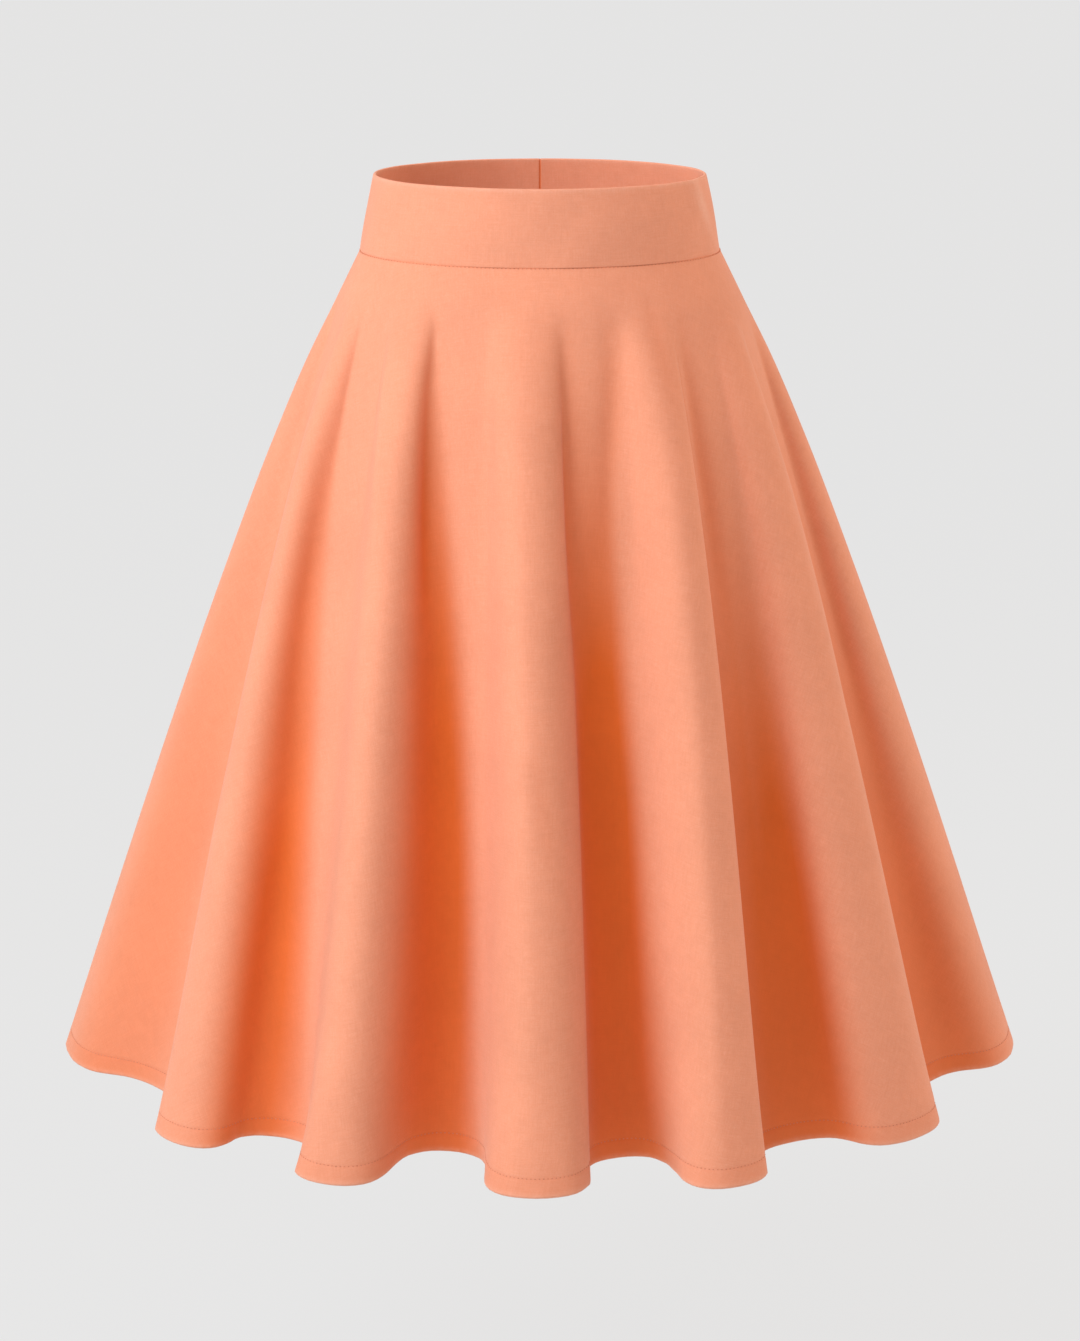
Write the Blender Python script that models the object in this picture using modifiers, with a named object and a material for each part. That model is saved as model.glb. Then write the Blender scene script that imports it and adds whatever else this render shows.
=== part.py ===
"""A-line skirt, filled out as if worn: a wide waistband and two flared panels that fall in soft folds.

Metres, +Z up. The front faces -Y, and +X is to the right of someone who looks at the front. The origin is the
centre of the waistband's top rim, where the wearer's waist holds the skirt up.
"""

from collections import namedtuple

import bpy
import numpy as np

COLLECTION = "a_line_skirt"

# The skirt's rings, from the rim down: how far below the rim, and half of the width and of the depth there.
# The band lies between the first two. From its foot on, the rings are the smooth flare that the folds stand on.
Ring = namedtuple("Ring", "drop half_width half_depth")
RINGS = (
    Ring(0.0000, 0.1270, 0.0953),
    Ring(0.0578, 0.1379, 0.1020),
    Ring(0.0780, 0.1479, 0.1125),
    Ring(0.0980, 0.1578, 0.1228),
    Ring(0.1360, 0.1770, 0.1430),
    Ring(0.2000, 0.2050, 0.1723),
    Ring(0.3000, 0.2441, 0.2135),
    Ring(0.4200, 0.2880, 0.2596),
    Ring(0.5500, 0.3334, 0.3072),
    Ring(0.6914, 0.3809, 0.3570),
)
RIM, BAND_FOOT, HEM = RINGS[0], RINGS[1], RINGS[-1]

# Walls of cloth. The band is folded double, and the hem is turned up inside.
BAND_WALL = 0.0024
PANEL_WALL = 0.0015
HEM_WALL = 0.0024
HEM_TURN_UP = 0.012
HEM_STEP = 0.0015
SEAM_GAP = 0.0003

# A row for each fold, from the left side round by the front, the right side and the back; the valley follows its
# crest. Angles are degrees from the front, at the waist and at the hem, and drift is the power by which they go
# from one to the other. crest_out and valley_in are metres from the smooth flare at the hem, and start is the
# share of the panel's height above which the fold hasn't begun. left_wall and right_wall say how steeply the
# crest's two sides stand, from 0 for a plain wave to 1; close to the waist and the hem all stand steeply.
Fold = namedtuple(
    "Fold",
    "crest_top crest_hem valley_top valley_hem drift crest_out valley_in start left_wall right_wall",
)
FOLDS = (
    Fold(-90, -84, -81, -59, 1.4, 0.000, 0.053, 0.04, 1.0, 0.2),
    Fold(-66, -46, -56, -35, 1.4, 0.000, 0.060, 0.04, 1.0, 0.5),
    Fold(-39, -24, -25, -13, 2.2, 0.004, 0.084, 0.03, 0.1, 0.4),
    Fold(-5, -0.5, 16, 12, 2.2, 0.000, 0.074, 0.03, 0.2, 0.7),
    Fold(33, 21, 46, 33.5, 1.4, 0.004, 0.054, 0.04, 0.1, 1.0),
    Fold(65, 49, 78, 63, 1.5, 0.000, 0.052, 0.06, 0.9, 1.0),
    Fold(90, 84, 99, 99, 1.5, 0.000, 0.064, 0.05, 1.0, 0.6),
    Fold(110, 114, 126, 129, 1.5, 0.002, 0.080, 0.03, 0.4, 0.8),
    Fold(142, 144, 159, 160, 1.5, 0.004, 0.064, 0.03, 0.8, 0.3),
    Fold(177, 177, 195, 193, 1.5, 0.000, 0.080, 0.03, 0.2, 0.7),
    Fold(212, 209, 229, 226, 1.5, 0.004, 0.070, 0.03, 0.6, 0.3),
    Fold(245, 243, 260, 261, 1.5, 0.000, 0.060, 0.05, 0.4, 0.9),
)
GROWTH_POWER = 0.66
GROWTH_SOFTNESS = 0.04
STEEPNESS_HEM = 1.7
STEEPNESS_WAIST = 5.0
WAIST_FADE = 4
HEM_FADE = 16
VALLEY_FLATNESS = 0.70

# The side seams lie halfway down the back wall of each side fold, counted in folds from the left side's crest.
LEFT_SEAM = -0.25
RIGHT_SEAM = 6.25

# How finely the walls are divided. The evening moves columns off the steep walls, on to crests and valleys.
COLUMNS_A_FOLD = 12
COLUMN_EVENING = 0.5
PANEL_ROWS = 13
ROW_SPACING_POWER = 1.25
BAND_COLUMNS = 96
BAND_ROWS = 3

CLOTH_COLOUR = (0.88, 0.33, 0.18, 1.0)
CLOTH_ROUGHNESS = 0.85


def clear_scene():
    for thing in list(bpy.data.objects):
        bpy.data.objects.remove(thing, do_unlink=True)


def cloth_material(name):
    material = bpy.data.materials.new(name)
    material.use_nodes = True
    shader = material.node_tree.nodes["Principled BSDF"]
    shader.inputs["Base Color"].default_value = CLOTH_COLOUR
    shader.inputs["Roughness"].default_value = CLOTH_ROUGHNESS
    shader.inputs["Metallic"].default_value = 0.0
    return material


def on_ring(half_width, half_depth, angle, outwards):
    """Points of an ellipse at an angle from the front, moved outwards square to it."""
    across = np.sin(angle)
    along = -np.cos(angle)
    slope = np.hypot(across / half_width, along / half_depth)
    x = half_width * across + outwards * across / half_width / slope
    y = half_depth * along + outwards * along / half_depth / slope
    return x, y


def between(first, last, share):
    return first + (last - first) * share


def flare_at(drop):
    """Half width and half depth at a drop below the rim, on a smooth curve through the rings of the flare."""
    rings = np.array(RINGS[1:])
    level, sizes = rings[:, 0], rings[:, 1:]
    slopes = np.gradient(sizes, level, axis=0)
    row = np.clip(np.searchsorted(level, drop) - 1, 0, len(level) - 2)
    step = (level[row + 1] - level[row])[..., None]
    part = (drop - level[row])[..., None] / step
    rise = part**2 * (3 - 2 * part)
    curve = between(sizes[row], sizes[row + 1], rise)
    curve = curve + step * part * (1 - part) * ((1 - part) * slopes[row] - part * slopes[row + 1])
    return curve[..., 0], curve[..., 1]


def fold_growth(share, start):
    """How much of its hem depth a fold has: nothing above its start, then a soft beginning and a slow swell."""
    gone = np.clip((share - start) / (1 - start), 0, 1)
    soft = GROWTH_SOFTNESS**2
    return gone**2 * ((gone**2 + soft) / (1 + soft)) ** (GROWTH_POWER / 2 - 1)


def panel_surface(phase, share):
    """The outer face of the flared cloth.

    phase counts folds: a whole number is a crest, and a half more is the valley after it. share runs from 0 at
    the waist seam to 1 at the hem. From crest to valley the cloth steps sideways by a straight run plus a sine,
    which stands its walls the steeper the deeper they are, and inwards by a half wave of cosine, which keeps the
    valleys flatter than the crests near the waist.
    """
    folds = Fold(*np.array(FOLDS).T)
    fold = np.floor(phase).astype(int)
    part = phase - fold
    crest = fold + (part > 0.5)
    run = 2 * np.where(part > 0.5, 1 - part, part)
    drop = between(BAND_FOOT.drop + SEAM_GAP, HEM.drop, share)
    half_width, half_depth = flare_at(drop)

    def turned(top, hem, which):
        lap, row = np.divmod(which, len(FOLDS))
        return np.radians(between(hem[row], top[row], (1 - share) ** folds.drift[row]) + 360 * lap)

    def grown(size, which):
        row = which % len(FOLDS)
        return size[row] * fold_growth(share, folds.start[row])

    crest_angle = turned(folds.crest_top, folds.crest_hem, crest)
    valley_angle = turned(folds.valley_top, folds.valley_hem, fold)
    crest_rise = grown(folds.crest_out, crest)
    valley_rise = -grown(folds.valley_in, fold)
    width = np.abs(valley_angle - crest_angle) * (half_width + half_depth) / 2
    gain = between(STEEPNESS_HEM, STEEPNESS_WAIST, (1 - share) ** WAIST_FADE)
    side = np.where(part > 0.5, folds.left_wall[crest % len(FOLDS)], folds.right_wall[fold % len(FOLDS)])
    wall = between(side, 1.0, (1 - share) ** WAIST_FADE + share**HEM_FADE)
    steepness = wall * np.tanh(gain * (crest_rise - valley_rise) / width)
    sideways = run + steepness * np.sin(2 * np.pi * run) / (2 * np.pi)
    flatness = VALLEY_FLATNESS * (1 - share) * np.sin(np.pi * run)
    inwards = (1 - np.cos(np.pi * run + flatness)) / 2
    inset = (BAND_WALL - PANEL_WALL) / 2 * (1 - share)
    x, y = on_ring(
        half_width,
        half_depth,
        between(crest_angle, valley_angle, sideways),
        between(crest_rise, valley_rise, inwards) - inset,
    )
    return np.stack([x, y, -drop + 0 * x], axis=-1)


def band_surface(angle, share):
    """The outer face of the waistband: a straight-sided strip that widens a little from its rim to its foot."""
    x, y = on_ring(
        between(RIM.half_width, BAND_FOOT.half_width, share),
        between(RIM.half_depth, BAND_FOOT.half_depth, share),
        angle,
        0.0,
    )
    return np.stack([x, y, -BAND_FOOT.drop * share + 0 * x], axis=-1)


def pull_ends_apart(grid):
    """Draws the first and last column in by half a seam gap, towards their neighbours."""
    for end, neighbour in ((0, 1), (-1, -2)):
        step = grid[:, neighbour] - grid[:, end]
        grid[:, end] += step * (SEAM_GAP / 2 / np.linalg.norm(step, axis=-1, keepdims=True))
    return grid


def cloth_from_grid(name, grid, wall, collection):
    """An open sheet from a grid of points, rows running down, given its thickness on its inner side."""
    rows, columns = grid.shape[:2]
    number = np.arange(rows * columns).reshape(rows, columns)
    faces = np.stack([number[:-1, :-1], number[1:, :-1], number[1:, 1:], number[:-1, 1:]], axis=-1)
    mesh = bpy.data.meshes.new(name)
    mesh.from_pydata(grid.reshape(-1, 3).tolist(), [], faces.reshape(-1, 4).tolist())
    mesh.shade_smooth()
    mesh.materials.append(cloth_material(name + "_cloth"))
    sheet = bpy.data.objects.new(name, mesh)
    collection.objects.link(sheet)
    thickness = sheet.modifiers.new("cloth wall", "SOLIDIFY")
    thickness.thickness = wall
    thickness.offset = -1
    thickness.use_even_offset = True
    thickness.use_quality_normals = True
    return sheet


def make_waistband(collection):
    """The double strip, its ends meeting in the centre-back seam."""
    angle = np.linspace(-np.pi, np.pi, BAND_COLUMNS + 1)
    share = np.linspace(0, 1, BAND_ROWS + 1)
    grid = pull_ends_apart(band_surface(angle[None, :], share[:, None]))
    return cloth_from_grid("waistband", grid, BAND_WALL, collection)


def make_panel(name, first_seam, last_seam, collection):
    """A flared panel between two side seams, thicker where its hem is turned up."""
    height = HEM.drop - BAND_FOOT.drop
    hem_share = 1 - HEM_TURN_UP / height
    step_share = hem_share - HEM_STEP / height
    plain = np.linspace(0, 1, PANEL_ROWS + 1) ** ROW_SPACING_POWER * step_share
    share = np.concatenate([plain, [hem_share, 1.0]])
    columns = round((last_seam - first_seam) * COLUMNS_A_FOLD) + 1
    phase = np.linspace(first_seam, last_seam, columns)
    phase = phase - COLUMN_EVENING * np.sin(4 * np.pi * phase) / (4 * np.pi)
    grid = pull_ends_apart(panel_surface(phase[None, :], share[:, None]))
    panel = cloth_from_grid(name, grid, HEM_WALL, collection)
    hem = panel.vertex_groups.new(name="hem turn-up")
    hem_points = range((len(share) - 2) * columns, len(share) * columns)
    hem.add(list(hem_points), 1.0, "REPLACE")
    thickness = panel.modifiers["cloth wall"]
    thickness.vertex_group = hem.name
    thickness.thickness_vertex_group = PANEL_WALL / HEM_WALL
    return panel


def main():
    clear_scene()
    collection = bpy.data.collections.new(COLLECTION)
    bpy.context.scene.collection.children.link(collection)
    make_waistband(collection)
    make_panel("front_panel", LEFT_SEAM, RIGHT_SEAM, collection)
    make_panel("back_panel", RIGHT_SEAM, LEFT_SEAM + len(FOLDS), collection)


main()
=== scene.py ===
"""Looks of an a-line skirt: a double waistband over two flared panels of plain weave, with seams and hem.

Metres, +Z up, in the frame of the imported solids. The front faces -Y, and the origin is the rim's centre.
"""

from collections import namedtuple

import bpy
import numpy as np
from bpy.props import FloatProperty, FloatVectorProperty, PointerProperty
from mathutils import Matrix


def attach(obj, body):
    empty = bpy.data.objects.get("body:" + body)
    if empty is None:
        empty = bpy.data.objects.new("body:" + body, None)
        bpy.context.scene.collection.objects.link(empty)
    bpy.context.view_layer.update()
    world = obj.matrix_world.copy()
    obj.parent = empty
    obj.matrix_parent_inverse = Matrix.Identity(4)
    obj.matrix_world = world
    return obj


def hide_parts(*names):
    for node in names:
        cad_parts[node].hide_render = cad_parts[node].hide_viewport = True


bl_info = {
    "name": "A-Line Skirt",
    "version": (1, 0, 0),
    "blender": (4, 5, 0),
    "location": "View3D > Sidebar > Skirt",
    "description": "Makes the cloth, seams and stage of a flared skirt with a wide waistband",
    "category": "Object",
}

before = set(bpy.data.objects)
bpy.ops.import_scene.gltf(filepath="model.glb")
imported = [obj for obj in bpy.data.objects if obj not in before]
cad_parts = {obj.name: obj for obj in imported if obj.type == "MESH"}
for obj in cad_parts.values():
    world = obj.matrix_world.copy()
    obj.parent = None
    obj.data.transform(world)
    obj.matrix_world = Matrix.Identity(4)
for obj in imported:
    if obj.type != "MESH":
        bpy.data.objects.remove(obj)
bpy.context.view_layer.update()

# The solids' rings, from the rim down: drop below the rim, and half of the width and of the depth there.
Ring = namedtuple("Ring", "drop half_width half_depth")
RINGS = (
    Ring(0.0000, 0.1270, 0.0953),
    Ring(0.0578, 0.1379, 0.1020),
    Ring(0.0780, 0.1479, 0.1125),
    Ring(0.0980, 0.1578, 0.1228),
    Ring(0.1360, 0.1770, 0.1430),
    Ring(0.2000, 0.2050, 0.1723),
    Ring(0.3000, 0.2441, 0.2135),
    Ring(0.4200, 0.2880, 0.2596),
    Ring(0.5500, 0.3334, 0.3072),
    Ring(0.6914, 0.3809, 0.3570),
)
RIM, BAND_FOOT, HEM = RINGS[0], RINGS[1], RINGS[-1]

# A row for each fold, from the left side round by the front, the right side and the back; the valley comes
# after its crest. Angles are degrees from the front, at the waist and at the hem, and drift is the power by
# which they go from one to the other. crest_out and valley_in are metres from the smooth flare at the hem,
# and start is the share of the panel's height above which the fold hasn't begun. left_wall and right_wall say
# how steeply the crest's two sides stand, from 0 for a plain wave to 1; close to waist and hem all are steep.
Fold = namedtuple(
    "Fold",
    "crest_top crest_hem valley_top valley_hem drift crest_out valley_in start left_wall right_wall",
)
FOLDS = (
    Fold(-90, -84, -81, -59, 1.4, 0.000, 0.053, 0.04, 1.0, 0.2),
    Fold(-66, -46, -56, -35, 1.4, 0.000, 0.060, 0.04, 1.0, 0.5),
    Fold(-39, -24, -25, -13, 2.2, 0.004, 0.084, 0.03, 0.1, 0.4),
    Fold(-5, -0.5, 16, 12, 2.2, 0.000, 0.074, 0.03, 0.2, 0.7),
    Fold(33, 21, 46, 33.5, 1.4, 0.004, 0.054, 0.04, 0.1, 1.0),
    Fold(65, 49, 78, 63, 1.5, 0.000, 0.052, 0.06, 0.9, 1.0),
    Fold(90, 84, 99, 99, 1.5, 0.000, 0.064, 0.05, 1.0, 0.6),
    Fold(110, 114, 126, 129, 1.5, 0.002, 0.080, 0.03, 0.4, 0.8),
    Fold(142, 144, 159, 160, 1.5, 0.004, 0.064, 0.03, 0.8, 0.3),
    Fold(177, 177, 195, 193, 1.5, 0.000, 0.080, 0.03, 0.2, 0.7),
    Fold(212, 209, 229, 226, 1.5, 0.004, 0.070, 0.03, 0.6, 0.3),
    Fold(245, 243, 260, 261, 1.5, 0.000, 0.060, 0.05, 0.4, 0.9),
)

# How a fold's depth grows on its way down, how steep its walls are at hem and waist and how fast that changes
# there, and how much flatter its valley is than its crest near the waist.
GROWTH_POWER = 0.66
GROWTH_SOFTNESS = 0.04
STEEPNESS_HEM = 1.7
STEEPNESS_WAIST = 5.0
WAIST_FADE = 4
HEM_FADE = 16
VALLEY_FLATNESS = 0.70

# The side seams, counted in folds from the left side's crest, as the solids have them.
LEFT_SEAM = -0.25
RIGHT_SEAM = 6.25

# Small creases laid on the folds, as the photograph shows them in front and alike behind. Ends are in
# folds round the skirt and in shares of the panel's height; width and depth are metres, and a depth below
# nothing is a trough. Along each, the depth is a half sine to the power of CREASE_ENDS.
Crease = namedtuple("Crease", "fold_top share_top fold_foot share_foot width depth")
CREASES = (
    Crease(1.79, 0.02, 2.00, 0.36, 0.006, 0.0018),
    Crease(2.20, 0.035, 2.27, 0.42, 0.007, -0.0038),
    Crease(1.18, 0.16, 1.26, 0.60, 0.012, -0.0030),
    Crease(1.30, 0.44, 1.32, 1.30, 0.020, -0.0045),
    Crease(0.44, 0.14, 0.50, 0.80, 0.018, -0.0030),
    Crease(0.80, 0.20, 0.84, 0.66, 0.014, -0.0024),
    Crease(2.50, 0.30, 2.48, 1.20, 0.016, -0.0020),
    Crease(3.01, 0.50, 3.07, 0.66, 0.006, -0.0012),
    Crease(3.25, 0.22, 3.20, 1.30, 0.008, 0.0034),
    Crease(3.31, 0.03, 3.27, 0.46, 0.007, -0.0028),
    Crease(3.62, 0.03, 3.50, 0.36, 0.007, -0.0032),
    Crease(3.46, 0.22, 3.54, 1.10, 0.020, -0.0040),
    Crease(4.00, 0.02, 4.06, 0.18, 0.005, -0.0014),
    Crease(4.32, 0.04, 4.38, 0.30, 0.005, 0.0010),
    Crease(4.42, 0.03, 4.48, 0.44, 0.006, -0.0032),
    Crease(4.63, 0.30, 4.60, 1.20, 0.022, -0.0050),
    Crease(5.20, 0.16, 5.16, 0.52, 0.011, 0.0020),
    Crease(5.79, 0.10, 5.72, 0.66, 0.010, -0.0034),
    Crease(6.20, 0.14, 6.12, 0.48, 0.010, 0.0018),
    Crease(6.84, 0.12, 6.80, 0.50, 0.012, -0.0034),
    Crease(7.22, 0.08, 7.28, 0.36, 0.008, -0.0020),
    Crease(7.60, 0.24, 7.56, 1.10, 0.020, -0.0040),
    Crease(8.12, 0.10, 8.20, 0.44, 0.009, 0.0020),
    Crease(8.40, 0.05, 8.34, 0.38, 0.006, -0.0028),
    Crease(9.06, 0.52, 9.02, 0.70, 0.007, -0.0014),
    Crease(9.60, 0.04, 9.52, 0.40, 0.008, -0.0032),
    Crease(10.16, 0.08, 10.12, 0.40, 0.009, 0.0018),
    Crease(10.62, 0.30, 10.56, 1.15, 0.018, -0.0036),
    Crease(11.20, 0.10, 11.28, 0.42, 0.008, -0.0026),
)
CREASE_ENDS = 1.2

# Slow unevenness as sums of sines: metres high, how often the ways round and down go into each, and where it
# starts in radians. The ease's ways are a whole turn a fold and a panel, and the band's are radians round it
# and shares of its height.
Wave = namedtuple("Wave", "size around down start")
EASE_WAVES = (Wave(0.00025, 2.3, 1.1, 0.0), Wave(0.00015, 5.7, 0.0, 0.7 * np.pi))
BAND_WAVES = (
    Wave(0.00040, 3, 0, 0.8),
    Wave(0.00030, 7, 2, 2.1),
    Wave(0.00015, 17, 5, 0.0),
    Wave(0.000175, 7, 7, np.pi / 2 - 0.5),
    Wave(-0.000175, 11, 7, np.pi / 2 + 0.5),
)

# The hem's stitched turn ropes a little: how high, how far up it shows, its waves and their unevenness.
ROPE_SIZE = 0.00035
ROPE_REACH = 0.045
ROPE_WAVES = 11.3
ROPE_START = 0.4 * np.pi
ROPE_BEAT = 1.7
ROPE_UNEVEN = 0.4

# A soft ridge near the band's right end, leaning as it goes down to the share of the height where it has run
# out, and a pale patch of painted highlight on it, its middle and reach in shares of the height. Angles are
# radians.
Ridge = namedtuple("Ridge", "height angle lean width foot")
BAND_RIDGE = Ridge(0.0015, 1.12, 0.2, 0.09, 1.1)
Patch = namedtuple("Patch", "strength angle lean width middle reach")
HIGHLIGHT_PATCH = Patch(1.6, 1.14, 0.2, 0.075, 0.35, 0.35)

# How finely the cloth is divided: round a fold, and in rows for the height, the hem and each turned edge. The
# rows close to the waist seam are counted in tucks below it, and one of them carries its stitches.
COLUMNS_A_FOLD = 36
SEAM_COLUMNS = (0.003, 0.008, 0.016)
WAIST_ROWS = (-1.0, -0.4, 0.0, 0.2, 0.45, 0.7, 1.0, 1.5, 2.2)
WAIST_STITCH_ROW = 4
PANEL_ROWS = 100
HEM_ROW = 0.001
HEM_ROWS = 18
TURN_ROWS = 6
BAND_COLUMNS = 320
BAND_FACE_ROWS = 26
FOOT_ROWS = 4

# Seams: how deep and how wide the cloth draws in at a ditch and at a line of stitches, how far the panels go
# up and in behind the band, and how far wear reaches from an edge.
DITCH_DEPTH = 0.0005
DITCH_WIDTH = 0.0006
WAIST_DITCH_DEPTH = 0.00015
WAIST_DITCH_WIDTH = 0.0005
BAND_END_DITCH = 0.0003
STITCH_DITCH_DEPTH = 0.00035
STITCH_DITCH_WIDTH = 0.0012
SEAM_TUCK = 0.0012
SEAM_DIP = 0.0008
WORN_REACH = 0.002

# Painted shade: folds are painted a darker, richer colour near their floor. Below, where between two
# crests and how widely, in shares of the way, at the front and at the right side. Near the waist that band
# is narrower and leans back to its crest. Folds that face the light, at the left side, have less of it, and
# so have all folds at the sides.
SHADE_PLACE = (0.44, 0.64)
SHADE_WIDTH = (0.235, 0.275)
SHADE_NARROW = 0.35
SHADE_LEAN = 0.20
LIT_SIDE = 0.9
SIDE_FOLDS = 0.85

# The depth of a fold that has most of the painted fold shade and of a crease that would have all of it, how
# much of that darker colour the doubled hem has and a seam's ditch has as painted shade, and how much the
# hem loses and the inner side keeps.
FULL_DEPTH = 0.036
FULL_CREASE = 0.013
HEM_DARKENING = 0.10
HEM_EDGE_SOFTNESS = 0.0004
SEAM_SHADE = 0.25
HEM_LOSS = 0.15
INNER_FOLD_SHARE = 0.1

# A stitch: the sides of its tube, where its rings are in shares of its length and how wide in shares of its
# width, how flat it is, how many widths it lies above the cloth, and how near to it the row's way is read.
STITCH_SIDES = 6
STITCH_RING_PLACES = (-0.36, 0.0, 0.36)
STITCH_RING_GIRTHS = (0.8, 1.0, 0.8)
STITCH_SQUASH = 0.8
STITCH_LIFT = 0.2
STITCH_REACH = 0.0005

# The cloth's finish: how much its shade varies with slubs and two sizes of mottle, how fine and how strong
# the pale fibres are on threads and on worn edges, its roughness, and what slubs add to it and to its height.
SLUB_SHADE = 0.14
Mottle = namedtuple("Mottle", "scale amount")
MOTTLES = (Mottle(14.0, 0.17), Mottle(120.0, 0.08))
FIBRE_SCALE = 850.0
FIBRE_SHARE = 0.5
FUZZ_SCALE = 260.0
FUZZ_SHARE = 0.30
CLOTH_ROUGHNESS = 0.72
SLUB_ROUGHNESS = 0.16
SLUB_HEIGHT = 0.6
SLUB_STRETCHES = ((1400.0, 60.0), (60.0, 1400.0))

# The photograph's camera: how far it stands off, how far it looks down, the height that it looks at, and its
# lens and sensor in millimetres.
CAMERA_DISTANCE = 3.0
CAMERA_PITCH = np.radians(14.51)
CAMERA_TARGET = -0.392
CAMERA_LENS = 102.1
CAMERA_SENSOR = 36.0

# Soft light panels: degrees round from the front and up from level, metres across and away, and colour.
LightPanel = namedtuple("LightPanel", "name turn height size distance colour")
LIGHT_PANELS = (
    LightPanel("left_panel_light", -57, 36, 1.7, 2.8, (1.0, 1.0, 1.0)),
    LightPanel("right_panel_light", 112, 18, 1.6, 2.6, (1.0, 0.78, 0.58)),
    LightPanel("front_panel_light", -4, 34, 2.0, 3.6, (1.0, 1.0, 1.0)),
)


def between(first, last, share):
    """The value a share of the way from the first to the last."""
    return first + (last - first) * share


def soft_mark(distance, width):
    """A bell round nothing: the exponential of minus the square of distance over width."""
    return np.exp(-((distance / width) ** 2))


def wavy(waves, around, down):
    """The sum of sines, each of its start plus its own waves round and down."""
    return sum(wave.size * np.sin(wave.start + wave.around * around + wave.down * down) for wave in waves)


def on_ring(half_width, half_depth, angle, outwards):
    """Points of an ellipse at an angle from the front, moved outwards square to it."""
    across = np.sin(angle)
    along = -np.cos(angle)
    slope = np.hypot(across / half_width, along / half_depth)
    x = half_width * across + outwards * across / half_width / slope
    y = half_depth * along + outwards * along / half_depth / slope
    return x, y


def flare_at(drop):
    """Half width and half depth at a drop below the rim, on a cubic curve through the flare's rings."""
    rings = np.array(RINGS[1:])
    level, sizes = rings[:, 0], rings[:, 1:]
    slopes = np.gradient(sizes, level, axis=0)
    row = np.clip(np.searchsorted(level, drop) - 1, 0, len(level) - 2)
    step = (level[row + 1] - level[row])[..., None]
    part = (drop - level[row])[..., None] / step
    rise = part**2 * (3 - 2 * part)
    curve = between(sizes[row], sizes[row + 1], rise)
    curve = curve + step * part * (1 - part) * ((1 - part) * slopes[row] - part * slopes[row + 1])
    return curve[..., 0], curve[..., 1]


def fold_growth(share, start):
    """How much of its hem depth a fold has: none above its start, a soft beginning, then a slow swell."""
    gone = np.clip((share - start) / (1 - start), 0, 1)
    soft = GROWTH_SOFTNESS**2
    return gone**2 * ((gone**2 + soft) / (1 + soft)) ** (GROWTH_POWER / 2 - 1)


def folded_cloth(phase, share, inset):
    """The outer face of the flared cloth, and how deep its fold is at each point.

    phase counts folds: a whole number is a crest, and a half more is the valley after it. share runs from 0
    at the waist seam to 1 at the hem. From crest to valley the cloth steps sideways by a straight run plus a
    sine, which stands its walls the steeper the deeper they are, and inwards by a half wave of cosine, which
    keeps the valleys flatter than the crests near the waist.
    """
    folds = Fold(*np.array(FOLDS).T)
    fold = np.floor(phase).astype(int)
    part = phase - fold
    crest = fold + (part > 0.5)
    run = 2 * np.where(part > 0.5, 1 - part, part)
    drop = between(BAND_FOOT.drop, HEM.drop, share)
    half_width, half_depth = flare_at(drop)
    above_hem = np.clip(1 - share, 0, 1)

    def turned(top, hem, which):
        lap, row = np.divmod(which, len(FOLDS))
        return np.radians(between(hem[row], top[row], above_hem ** folds.drift[row]) + 360 * lap)

    def grown(size, which):
        row = which % len(FOLDS)
        return size[row] * fold_growth(share, folds.start[row])

    crest_angle = turned(folds.crest_top, folds.crest_hem, crest)
    valley_angle = turned(folds.valley_top, folds.valley_hem, fold)
    crest_rise = grown(folds.crest_out, crest)
    valley_rise = -grown(folds.valley_in, fold)
    width = np.abs(valley_angle - crest_angle) * (half_width + half_depth) / 2
    gain = between(STEEPNESS_HEM, STEEPNESS_WAIST, above_hem**WAIST_FADE)
    side = np.where(part > 0.5, folds.left_wall[crest % len(FOLDS)], folds.right_wall[fold % len(FOLDS)])
    wall = between(side, 1.0, above_hem**WAIST_FADE + share**HEM_FADE)
    steepness = wall * np.tanh(gain * (crest_rise - valley_rise) / width)
    sideways = run + steepness * np.sin(2 * np.pi * run) / (2 * np.pi)
    flatness = VALLEY_FLATNESS * above_hem * np.sin(np.pi * run)
    inwards = (1 - np.cos(np.pi * run + flatness)) / 2
    rise = between(crest_rise, valley_rise, inwards)
    angle = between(crest_angle, valley_angle, sideways)
    x, y = on_ring(half_width, half_depth, angle, rise - inset * above_hem)
    return np.stack([x, y, -drop + 0 * x], axis=-1), crest_rise - valley_rise


def outward_normals(grid):
    """Unit normals of a grid whose rows run down and columns to the right, seen from outside."""
    down = np.gradient(grid, axis=0)
    right = np.gradient(grid, axis=1)
    normal = np.cross(down, right)
    return normal / np.linalg.norm(normal, axis=-1, keepdims=True)


def run_along(grid):
    """Each point's way along its own row, in metres from the first column."""
    steps = np.linalg.norm(np.diff(grid, axis=1), axis=-1)
    return np.concatenate([np.zeros((len(grid), 1)), np.cumsum(steps, axis=1)], axis=1)


def crease_height(phase, share, metres_a_fold):
    """The hand-laid creases: a bell across each one's line, times a half sine from its top to its foot."""
    top, share_top, foot, share_foot, width, depth = np.array(CREASES).T[:, :, None, None]
    along = np.clip((share - share_top) / (share_foot - share_top), 0, 1)
    aside = phase - between(top, foot, along)
    aside = aside - len(FOLDS) * np.round(aside / len(FOLDS))
    return (depth * soft_mark(aside * metres_a_fold, width) * np.sin(np.pi * along) ** CREASE_ENDS).sum(axis=0)


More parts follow.
